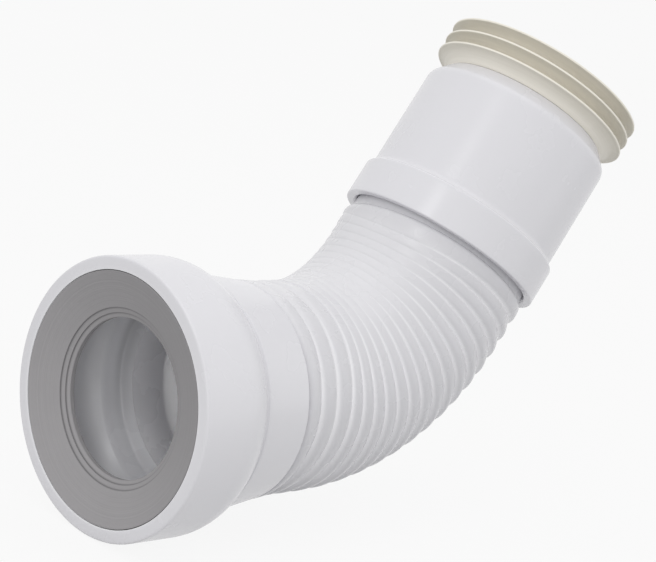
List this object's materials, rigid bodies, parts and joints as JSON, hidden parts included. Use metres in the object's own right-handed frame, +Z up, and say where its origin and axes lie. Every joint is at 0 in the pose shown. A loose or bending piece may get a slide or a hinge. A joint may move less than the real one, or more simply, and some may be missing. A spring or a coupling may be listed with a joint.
{
  "type": "toilet pan connector",
  "caption": "Flexible toilet pan connector: a cup with a soft funnel seal takes the pan's spigot, a corrugated hose bends, and a finned outlet pushes into the soil pipe.",
  "frame": {"origin": "centre of the inlet seal's aperture, at the front edge of its lip", "axes": "+X along the inlet axis into the connector, +Z up, the hose bending upward in the XZ plane toward the outlet"},
  "size_m": [0.3199, 0.136, 0.2659],
  "materials": {
    "white_plastic": "satin moulded",
    "white_hose": "satin moulded, soft",
    "grey_rubber": "matte",
    "cream_rubber": "matte, slightly translucent"
  },
  "bodies": {
    "inlet": {"inlet_socket": "white_plastic", "inlet_seal": "grey_rubber", "bellows_hose": "white_hose"},
    "outlet": {"outlet_spigot": "white_plastic", "outlet_fin_seal": "cream_rubber"}
  },
  "joints": [
    {"name": "hose_flex", "type": "hinge", "parent": "inlet", "child": "outlet", "pos_m": [0.1504, 0, 0.00999], "axis": [0, -1, 0], "range_deg": [-60, 15], "deforming": ["bellows_hose"]}
  ]
}
